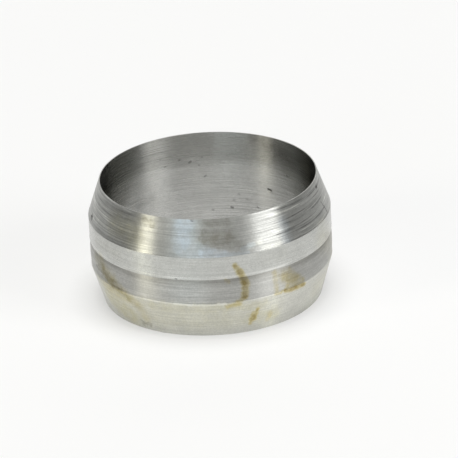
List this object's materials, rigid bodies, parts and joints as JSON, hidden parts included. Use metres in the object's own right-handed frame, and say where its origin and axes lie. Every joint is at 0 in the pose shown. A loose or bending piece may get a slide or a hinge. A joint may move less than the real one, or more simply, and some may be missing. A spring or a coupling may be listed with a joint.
{
  "type": "double-cone compression ring",
  "caption": "Turned steel ring with a plain tube bore, a taper at each end and plain bands between them, squeezed in a compression pipe fitting to grip and seal a tube.",
  "frame": {"origin": "on the bore's axis, at the lower end face that the ring stands on", "axes": "+Z along the bore's axis, from the thicker lower end face towards the thin upper rim"},
  "size_m": [0.0318, 0.0316, 0.0163],
  "materials": {
    "turned_steel": "bare turned steel with fine circumferential tool marks and a few rust-brown stains"
  },
  "bodies": {
    "root": {"conical_insert": "turned_steel"}
  },
  "joints": []
}
